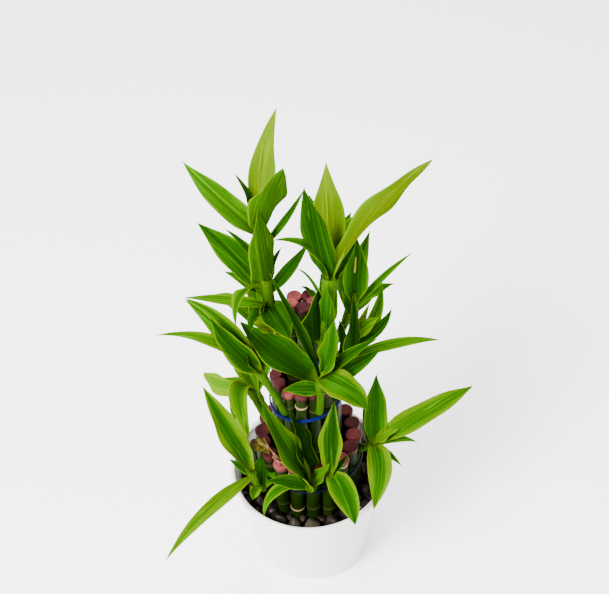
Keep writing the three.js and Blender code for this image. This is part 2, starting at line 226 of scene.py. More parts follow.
def noise(tree, place, scale, detail, roughness=0.5):
    # a cloud of values from 0 to 1 at the place times the scale
    node = tree.nodes.new("ShaderNodeTexNoise")
    feed(tree, node.inputs["Vector"], place)
    for label, value in (("Scale", scale), ("Detail", detail), ("Roughness", roughness)):
        node.inputs[label].default_value = value
    return node.outputs["Fac"]


def ramp(tree, value, *stops):
    # runs in straight lines between the stops, each (value, (red, green, blue))
    node = tree.nodes.new("ShaderNodeValToRGB")
    feed(tree, node.inputs[0], value)
    while len(node.color_ramp.elements) < len(stops):
        node.color_ramp.elements.new(0.5)
    for element, (place, colour) in zip(node.color_ramp.elements, stops):
        element.position = place
        element.color = (*colour, 1)
    return node.outputs[0]


def step(tree, value, low, high, fromValue=0.0, toValue=1.0):
    # goes smoothly from fromValue to toValue as value goes from low to high
    node = tree.nodes.new("ShaderNodeMapRange")
    node.interpolation_type = "SMOOTHSTEP"
    for socket, number in zip(node.inputs, (value, low, high, fromValue, toValue)):
        feed(tree, socket, number)
    return node.outputs[0]


def blend(tree, share, first, second, kind="MIX"):
    # first where share is 0, and where it is 1 second, or with MULTIPLY their product
    node = tree.nodes.new("ShaderNodeMix")
    node.data_type = "RGBA"
    node.blend_type = kind
    sockets = [socket for socket in node.inputs if socket.type == "RGBA"]
    feed(tree, node.inputs[0], share)
    for socket, colour in zip(sockets, (first, second)):
        feed(tree, socket, (*colour, 1) if isinstance(colour, tuple) else colour)
    return [socket for socket in node.outputs if socket.type == "RGBA"][0]


def toned(tree, colour, tone):
    # the colour times a tone, channel by channel
    return blend(tree, 1.0, colour, tone, "MULTIPLY")


def bump(tree, shader, height, strength, distance):
    # shades the surface as if height, from 0 to 1, raised it by the distance
    node = tree.nodes.new("ShaderNodeBump")
    node.inputs["Strength"].default_value = strength
    node.inputs["Distance"].default_value = distance
    feed(tree, node.inputs["Height"], height)
    feed(tree, shader.inputs["Normal"], node.outputs[0])


# pot

pot = {"height": 96, "rim": 62.5, "neck": 61, "foot": 40, "wall": 3, "floor": 6, "sides": 160,
       "fillet": 8, "filletReach": 0.98, "filletTurn": (8, 74),  # the round between foot and wall
       "bead": 2, "beadRise": 2.2, "beadTurn": (-35, 200), "underBead": 6,  # the rounded rim
       "cove": 8,  # height of the round inside corner
       "filletRows": 9, "wallRows": 12, "beadRows": 14, "insideRows": 10,
       "grey": (0.80, 0.78, 0.735), "white": (0.84, 0.825, 0.785), "clouds": 14, "ripples": 45,
       # painted shade: the darker warm grey that the glaze turns to on its right side
       "paintedShade": (0.45, 0.425, 0.36), "paintedShadeShare": 0.7, "paintedShadeFrom": 0, "paintedShadeTo": 0.06,
       "coat": 0.35, "coatRoughness": 0.06, "roughness": (0.12, 0.2)}


def potWall(z):
    # radius at a height: a straight line from the fillet's top to the neck
    bottom = pot["foot"] + pot["fillet"] * pot["filletReach"]
    return bottom + (pot["neck"] - bottom) * (z - pot["fillet"]) / (pot["height"] - pot["fillet"])


def potOutline():
    # flat foot, a quarter-round fillet, a straight taper, a rounded rim bead and the inside down to the floor
    top, floorTop = pot["height"] - pot["underBead"], pot["floor"] + pot["cove"]
    turn = np.radians(np.linspace(*pot["filletTurn"], pot["filletRows"]))
    fillet = [(pot["foot"] + pot["fillet"] * math.sin(a), pot["fillet"] * (1 - math.cos(a))) for a in turn]
    wall = [(potWall(z), z) for z in np.linspace(pot["fillet"], top, pot["wallRows"])]
    bead = [(pot["rim"] - pot["bead"] + pot["bead"] * math.cos(a),
             pot["height"] - pot["beadRise"] + pot["beadRise"] * math.sin(a))
            for a in np.radians(np.linspace(*pot["beadTurn"], pot["beadRows"]))]
    inside = [(potWall(z) - pot["wall"], z) for z in np.linspace(top, floorTop, pot["insideRows"])]
    corner = inside[-1][0]
    return [(0, 0), (pot["foot"] - 4, 0), (pot["foot"], 0.05), *fillet, *wall, *bead, *inside,
            (corner - 1.5, pot["floor"] + 2.5), (corner - 5, pot["floor"]), (0, pot["floor"])]


def glazeMaterial():
    # grey to white by slow clouds, then a painted shade: blended to a darker warm grey as x grows, so that
    # the right side looks shaded, under a thin clear coat
    material, tree, shader = newMaterial("whiteGlaze", Coat_Weight=pot["coat"],
                                         Coat_Roughness=pot["coatRoughness"])
    place = objectPlace(tree)
    cloud = noise(tree, place, pot["clouds"], 3)
    colour = ramp(tree, cloud, (0.3, pot["grey"]), (0.7, pot["white"]))
    parts = tree.nodes.new("ShaderNodeSeparateXYZ")
    feed(tree, parts.inputs[0], place)
    # painted shade on the right side of the pot, from x = 0 to 0.06 m
    paintedShade = step(tree, parts.outputs[0], pot["paintedShadeFrom"], pot["paintedShadeTo"], 0, pot["paintedShadeShare"])
    feed(tree, shader.inputs["Base Color"], blend(tree, paintedShade, colour, pot["paintedShade"]))
    feed(tree, shader.inputs["Roughness"], step(tree, cloud, 0.2, 0.8, *pot["roughness"]))
    bump(tree, shader, noise(tree, place, pot["ripples"], 2), 0.05, 0.0012)
    return material


makePiece("potGlazed", [latheSurface(potOutline(), pot["sides"])], glazeMaterial(), ["pot"])
print("stage 2: pot")

# gravel: a stone that is listed one by one is its angle, radius, size, height and tone

gravel = {"bed": 78.5, "inner": 42.5, "outer": 56.2, "rise": 3.5,  # the bed rises towards the canes
          "seed": 5, "tries": 5200, "sizes": (3.4, 8.0), "fade": 0.45, "uneven": (0.85, 1.0),
          "spread": 0.72, "wallShare": 0.62, "lift": (-0.3, 0.45), "tones": (0, 0.8),
          "rounds": 3, "flats": 13, "cuts": (0.55, 0.95), "least": 0.08, "soft": 34, "most": 1.15,
          "width": (0.65, 0.95), "thickness": (0.5, 0.75), "spin": (0, 6.28), "tip": (-0.6, 0.6),
          "front": [(-122, 48.5, 7.5, 80.5, 0.2), (-106, 48.5, 6.5, 82, 0.8), (-90, 48, 8.5, 82.5, 1.3),
                    (-71, 47.5, 8, 82, 0.3), (-55, 48.5, 7, 80.5, 0.5)],
          "black": (0.0008, 0.0006, 0.0004), "brown": (0.004, 0.003, 0.002), "grey": (0.03, 0.023, 0.016),
          "rust": (0.03, 0.02, 0.01), "rustShare": 0.35, "grain": 420, "patches": 130,
          "roughness": (0.35, 0.7)}


def ballPoints(rounds):
    # an icosahedron whose faces are cut in four round after round, on a ball of radius 1
    mesh = bpy.data.meshes.new("ball")
    work = bmesh.new()
    bmesh.ops.create_icosphere(work, subdivisions=rounds, radius=1)
    work.to_mesh(mesh)
    work.free()
    points = np.empty(len(mesh.vertices) * 3)
    mesh.vertices.foreach_get("co", points)
    faces = np.empty(len(mesh.polygons) * 3, int)
    mesh.polygons.foreach_get("vertices", faces)
    bpy.data.meshes.remove(mesh)
    return points.reshape(-1, 3), faces.reshape(-1, 3)


def stoneSurface(random, place, size, tone, ball, ballFaces):
    # a broken stone: the ball is cut by flats at random heights, and its edges are rounded by a soft minimum
    flats = unit(random.normal(size=(gravel["flats"], 3)))
    heights = random.uniform(*gravel["cuts"], gravel["flats"])
    reach = heights / np.maximum(ball @ flats.T, gravel["least"])
    radius = -np.log(np.exp(-gravel["soft"] * reach).sum(1)) / gravel["soft"]
    stretch = np.array([1, random.uniform(*gravel["width"]), random.uniform(*gravel["thickness"])])
    shape = ball * np.minimum(radius, gravel["most"])[:, None] * stretch * size
    spin = Matrix.Rotation(random.uniform(*gravel["spin"]), 3, "Z")
    tip = Matrix.Rotation(random.uniform(*gravel["tip"]), 3, "X")
    return shape @ np.array(spin @ tip).T + place, [ballFaces], {"stone": tone}


def gravelSurfaces():
    # stones at a random angle and radius, kept where they are far enough from all the others for their size
    random = np.random.default_rng(gravel["seed"])
    ball, ballFaces = ballPoints(gravel["rounds"])
    placed, stones = [], []
    low, high = gravel["sizes"]
    inner, outer = gravel["inner"], gravel["outer"]
    for degrees, radius, size, z, tone in gravel["front"]:
        x, y = radius * math.cos(math.radians(degrees)), radius * math.sin(math.radians(degrees))
        placed.append((x, y, size))
        stones.append(stoneSurface(random, np.array([x, y, z]), size, tone, ball, ballFaces))
    for attempt in range(gravel["tries"]):  # big stones first, then the gaps are filled with smaller ones
        size = high - (high - low) * (attempt / gravel["tries"]) ** gravel["fade"]
        size *= random.uniform(*gravel["uneven"])
        radius = random.uniform(inner, outer - gravel["wallShare"] * size)
        angle = random.uniform(0, 2 * math.pi)
        x, y = radius * math.cos(angle), radius * math.sin(angle)
        if all((x - a) ** 2 + (y - b) ** 2 > (gravel["spread"] * (size + c)) ** 2 for a, b, c in placed):
            placed.append((x, y, size))
            rise = gravel["rise"] * (outer - radius) / (outer - inner)
            z = gravel["bed"] + random.uniform(*gravel["lift"]) * size + rise
            tone = random.uniform(*gravel["tones"])
            stones.append(stoneSurface(random, np.array([x, y, z]), size, tone, ball, ballFaces))
    return stones


def stoneMaterial():
    # black to grey by each stone's tone and a fine grain, with rust in patches
    material, tree, shader = newMaterial("darkGravel", Specular_IOR_Level=0.22,
                                         Specular_Tint=(1, 0.85, 0.68, 1))
    place = objectPlace(tree)
    grain = noise(tree, place, gravel["grain"], 4, 0.65)
    patch = noise(tree, place, gravel["patches"], 2)
    shade = plus(tree, times(tree, mark(tree, "stone"), 0.55), times(tree, grain, 0.5))
    colour = ramp(tree, shade, (0.2, gravel["black"]), (0.55, gravel["brown"]), (1, gravel["grey"]))
    rusty = step(tree, patch, 0.58, 0.75, 0, gravel["rustShare"])
    feed(tree, shader.inputs["Base Color"], blend(tree, rusty, colour, gravel["rust"]))
    feed(tree, shader.inputs["Roughness"], step(tree, patch, 0.3, 0.7, *gravel["roughness"]))
    bump(tree, shader, grain, 0.5, 0.0006)
    return material


soil = {"bottom": 20, "top": gravel["bed"] - 1.5, "gap": 0.4, "topGap": 0.3, "sides": 96,
        "dark": (0.001, 0.0008, 0.0005), "light": (0.009, 0.006, 0.004), "crumbs": 260}


def soilMaterial():
    # dark to light by fine crumbs
    material, tree, shader = newMaterial("darkSoil", 0.9, Specular_IOR_Level=0.1)
    crumb = noise(tree, objectPlace(tree), soil["crumbs"], 5, 0.7)
    feed(tree, shader.inputs["Base Color"], ramp(tree, crumb, (0.3, soil["dark"]), (0.8, soil["light"])))
    bump(tree, shader, crumb, 0.8, 0.002)
    return material


soilOutline = [(0, soil["bottom"]), (potWall(soil["bottom"]) - pot["wall"] - soil["gap"], soil["bottom"]),
               (potWall(soil["top"]) - pot["wall"] - soil["topGap"], soil["top"]), (0, soil["top"])]
makePiece("gravelStones", gravelSurfaces(), stoneMaterial(), ["gravel_bed"])
makePiece("soilBed", [latheSurface(soilOutline, soil["sides"])], soilMaterial())
print("stage 3: gravel")

# canes with their wax and ties; tones are how pale the wax of each cane is

tiers = [
    {"name": "outer", "count": 18, "ring": 35, "cane": 5.4, "slim": 0.965, "top": 134, "phase": -87,
     "joint": 88, "wax": 6.6, "uneven": 1.1, "fall": 0, "ringed": 2,
     "tones": (0.5, 0.2, 0.8, 0.3, 0.65, 0.25, 0.4, 0.1, 0.5,
               0.3, 0.6, 0.2, 0.3, 0.15, 0.1, 0.12, 0.85, 0.6)},
    {"name": "middle", "count": 14, "ring": 21.5, "cane": 4.4, "slim": 0.965, "top": 204, "phase": -100,
     "joint": 191, "wax": 5.2, "uneven": 1.1, "fall": 0, "ringed": 0,
     "tones": (0.45, 0.3, 0.5, 0.2, 0.6, 0.3, 0.5, 0.2, 0.4, 0.6, 0.3, 0.2, 0.3, 0.9)},
    {"name": "inner", "count": 5, "ring": 8.5, "cane": 4.6, "slim": 1.07, "top": 280, "phase": -88,
     "joint": 256, "wax": 5.5, "uneven": 0.1, "fall": 0.27, "ringed": 1, "tones": (0.1, 0.6, 0.2, 0.8, 0.9)},
]
cane = {"bottom": 30.5, "sides": 28, "rows": 90, "stepTurn": 2.3, "jointSpread": 3,
        "joints": (-46, 0, 42, 84), "nearJoint": 3, "jointRows": 13, "noJoint": 50,
        "ringBulge": 0.5, "ringHalf": 1.3, "ringEvery": 5, "groove": 0.12, "grooveUp": 2.4, "grooveHalf": 1.2,
        "waver": 0.012, "waverLength": 9, "streaks": 900, "blotches": 60,
        "dark": (0.0022, 0.0065, 0.0003), "green": (0.006, 0.016, 0.0007), "light": (0.015, 0.034, 0.001),
        "blotch": (0.004, 0.007, 0.0008), "dry": (0.02, 0.018, 0.004), "pale": (0.3, 0.23, 0.11),
        "roughness": (0.34, 0.55)}
wax = {"sides": 36, "lumps": (0.03, 0.02), "tilt": 0.05, "swell": 0.97, "middle": 3.0, "mottle": 240,
       # each row of a cap: radius as a share of the full one and what is added to it, or to the cane's
       # where the share is 0, then height over the cane's end, how far its drips hang and how much it is top
       "rows": [(0, -0.3, -0.4, 1.6, 0), (0, 0.25, -0.7, 1.6, 0), (0, 0.6, 0.0, 1.2, 0), (1, 0, 0.8, 0.5, 0),
                (1, 0.05, 1.9, 0.2, 0.2), (1, -0.25, 2.8, 0, 0.6), (1, -0.9, 3.25, 0, 1), (0.6, 0, 3.2, 0, 1),
                (0.3, 0, 3.05, 0, 1)],
       "topStops": [(0.25, (0.022, 0.004, 0.005)), (0.5, (0.06, 0.010, 0.012)), (0.8, (0.19, 0.038, 0.036))],
       "sideStops": [(0.25, (0.012, 0.003, 0.003)), (0.6, (0.035, 0.007, 0.007)), (0.9, (0.13, 0.03, 0.026))]}


def canePlace(tier, index):
    # x, y, top and main joint: canes stand evenly on the ring, and a sine of the index makes them uneven
    angle = math.radians(tier["phase"] + 360 * index / tier["count"])
    y = tier["ring"] * math.sin(angle)
    wander = cane["stepTurn"] * index
    top = tier["top"] + tier["uneven"] * math.sin(wander) - tier["fall"] * (y + tier["ring"])
    return tier["ring"] * math.cos(angle), y, top, tier["joint"] + cane["jointSpread"] * math.cos(wander)


def caneSurface(tier, index, random):
    # radius over height: the cane's own times one plus a slow sine, plus a bell at each joint, less a lower
    # bell just over it
    x, y, top, joint = canePlace(tier, index)
    joints = joint + np.array(cane["joints"])
    near = np.linspace(-cane["nearJoint"], cane["nearJoint"], cane["jointRows"])
    z = np.concatenate([np.linspace(cane["bottom"], top, cane["rows"]), *(joint + near for joint in joints)])
    z = np.unique(np.clip(z, cane["bottom"], top))
    off = z[:, None] - joints
    nearest = off[np.arange(len(z)), np.abs(off).argmin(1)]
    radius = tier["cane"] * tier["slim"] * (1 + cane["waver"] * np.sin(z / cane["waverLength"] + index))
    radius = radius + cane["ringBulge"] * np.exp(-(nearest / cane["ringHalf"]) ** 2)
    radius = radius - cane["groove"] * np.exp(-((nearest - cane["grooveUp"]) / cane["grooveHalf"]) ** 2)
    points, faces, _ = latheSurface([(0, z[0]), *zip(radius, z), (0, z[-1])], cane["sides"], (x, y))
    away = np.concatenate([np.repeat(nearest, cane["sides"]), [cane["noJoint"]] * 2])
    ringed = 1.0 if index % cane["ringEvery"] == tier["ringed"] else 0.0
    return points, faces, {"joint": away, "seed": random.uniform(0, 1), "ringShare": ringed}


def waxSurface(tier, index, random):
    # a dipped cap: a ragged skirt over the cane's end, a swollen side and a flat, slightly sunk top, each
    # row's radius times a lump, one plus two sines, and its height less the drips, a product of two sines
    x, y, top, _ = canePlace(tier, index)
    sides = wax["sides"]
    angle = fullTurn(sides)
    phase = random.uniform(0, 6.28, 4)
    lump = 1 + wax["lumps"][0] * np.sin(2 * angle + phase[0]) + wax["lumps"][1] * np.sin(3 * angle + phase[1])
    drip = 0.5 + 0.5 * np.sin(2 * angle + phase[2]) * np.sin(3 * angle + phase[3])
    slim, full = tier["cane"], min(tier["wax"] * wax["swell"], math.pi * tier["ring"] / tier["count"])
    share, added, height, hang, onTop = np.array(wax["rows"]).T[..., None]
    radius = (np.where(share > 0, share * full, slim) + added) * lump
    z = top + height - hang * drip + wax["tilt"] * np.sin(angle + phase[0]) * radius
    ring = np.stack([x + radius * np.cos(angle), y + radius * np.sin(angle), z], -1).reshape(-1, 3)
    points = np.concatenate([ring, [[x, y, top + height[0, 0]], [x, y, top + wax["middle"]]]])
    marks = {"topFace": np.concatenate([np.repeat(onTop, sides), [0, 1]]), "seed": tier["tones"][index]}
    return points, shellFaces(len(radius), sides), marks


def caneMaterial():
    # dark to light green by upright streaks, with dull blotches, and at each joint, by the distance to it,
    # a dry band under a pale ring
    material, tree, shader = newMaterial("greenCane", Specular_IOR_Level=0.05,
                                         Specular_Tint=(0.75, 1, 0.45, 1))
    place = objectPlace(tree)
    streak = noise(tree, squeezed(tree, place, 0.06), cane["streaks"], 3, 0.6)
    blotch = noise(tree, place, cane["blotches"], 3)
    shade = plus(tree, times(tree, streak, 0.5), times(tree, mark(tree, "seed"), 0.4))
    colour = ramp(tree, shade, (0.2, cane["dark"]), (0.55, cane["green"]), (0.85, cane["light"]))
    colour = blend(tree, step(tree, blotch, 0.55, 0.75, 0, 0.45), colour, cane["blotch"])
    ragged = plus(tree, mark(tree, "joint"), sway(tree, blotch, 1.6))  # distance to the joint, in mm
    pale = times(tree, step(tree, ragged, -0.9, -0.3), step(tree, ragged, 0.5, 1.1, 1, 0))
    dry = times(tree, step(tree, ragged, -2.2, -0.8), step(tree, ragged, 0.6, 3.4, 0.75, 0))
    ringShare = step(tree, mark(tree, "ringShare"), 0, 1, 0.05, 0.95)
    dryShare = times(tree, dry, step(tree, ringShare, 0, 0.6, 0.3, 0.8))
    colour = blend(tree, dryShare, colour, cane["dry"])
    colour = blend(tree, times(tree, pale, ringShare), colour, cane["pale"])
    feed(tree, shader.inputs["Base Color"], colour)
    feed(tree, shader.inputs["Roughness"], step(tree, streak, 0.3, 0.8, *cane["roughness"]))
    bump(tree, shader, streak, 0.2, 0.0004)
    return material


def waxMaterial():
    # dark to rose by each cap's tone and a mottle, paler on top than on the side
    material, tree, shader = newMaterial("roseWax", Specular_IOR_Level=0.12, Specular_Tint=(1, 0.6, 0.5, 1),
                                         Subsurface_Weight=0.1, Subsurface_Scale=0.002)
    mottle = noise(tree, objectPlace(tree), wax["mottle"], 4, 0.6)
    shade = plus(tree, times(tree, mark(tree, "seed"), 0.6), times(tree, mottle, 0.5))
    top, side = ramp(tree, shade, *wax["topStops"]), ramp(tree, shade, *wax["sideStops"])
    feed(tree, shader.inputs["Base Color"], blend(tree, mark(tree, "topFace"), side, top))
    bump(tree, shader, mottle, 0.35, 0.0006)
    return material


caneSkin, waxSkin = caneMaterial(), waxMaterial()
for tier in tiers:
    random = np.random.default_rng(tier["count"])
    name, title = tier["name"], tier["name"].capitalize()
    indices = range(tier["count"])
    makePiece("canes" + title, [caneSurface(tier, index, random) for index in indices], caneSkin,
              [f"cane_{name}_{index + 1:02d}" for index in indices])
    makePiece("wax" + title, [waxSurface(tier, index, random) for index in indices], waxSkin,
              [f"wax_tips_{name}"])

ties = [{"name": "outer", "height": 116, "slope": 0, "blue": 0.002},
        {"name": "middle", "height": 183, "slope": 0.16, "blue": 0.05},
        {"name": "inner", "height": 225, "slope": 0, "blue": 0.11}]
wire = {"radius": 0.72, "out": 1.05, "apart": 1.5, "waver": 0.25, "sides": 12, "around": 160, "dust": 300,
        # the tie's blue times these is its colour where it is clean and where it is dusty
        "clean": (0.012, 0.035, 1), "dusty": (0.03, 0.08, 1.8)}


def tieSurface(tie, tier, strand):
    # one turn of wire round a tier: a ring that closes on itself, wavers a little and may stand aslant
    around, angle = fullTurn(wire["around"]), fullTurn(wire["sides"])
    far = tier["ring"] + tier["cane"] + wire["out"] + wire["radius"] * np.cos(angle)
    rise = wire["radius"] * np.sin(angle) + strand * wire["apart"]
    x = np.outer(np.cos(around), far)
    y = np.outer(np.sin(around), far)
    z = tie["height"] + rise + wire["waver"] * np.sin(5 * around + strand)[:, None] + tie["slope"] * x
    points = np.stack([x, y, z], -1).reshape(-1, 3)
    return points, [gridFaces(wire["around"] + 1, wire["sides"]) % len(points)], {}


def tieMaterial(name, blue):
    # two blues mixed by dust, both times the tie's own blue
    material, tree, shader = newMaterial(name, 0.35, Specular_IOR_Level=0.08, Specular_Tint=(0.5, 0.6, 1, 1))
    dust = noise(tree, objectPlace(tree), wire["dust"], 3)
    clean, dusty = (tuple(blue * part for part in wire[tone]) for tone in ("clean", "dusty"))
    feed(tree, shader.inputs["Base Color"], ramp(tree, dust, (0.3, clean), (0.8, dusty)))
    return material


for tie, tier in zip(ties, tiers):
    name = tie["name"]
    makePiece("tie" + name.capitalize(), [tieSurface(tie, tier, strand) for strand in (-0.5, 0.5)],
              tieMaterial(name + "Wire", tie["blue"]), [f"tie_{name}"])
print("stage 4: canes, wax and ties")

# leafy shoots. A leaf row is: how far up the stem it starts (0 to 1), heading and rise of its base, how
# far it droops to the tip, length, width, turn about its own midrib, sideways swing to the tip (angles in
# degrees), then how bright its middle is and how yellow its margins are (0 to 1), and a last 1 where it
# has a dried scar. A sleeve is a wider sheath: its place, reach, width and heading.

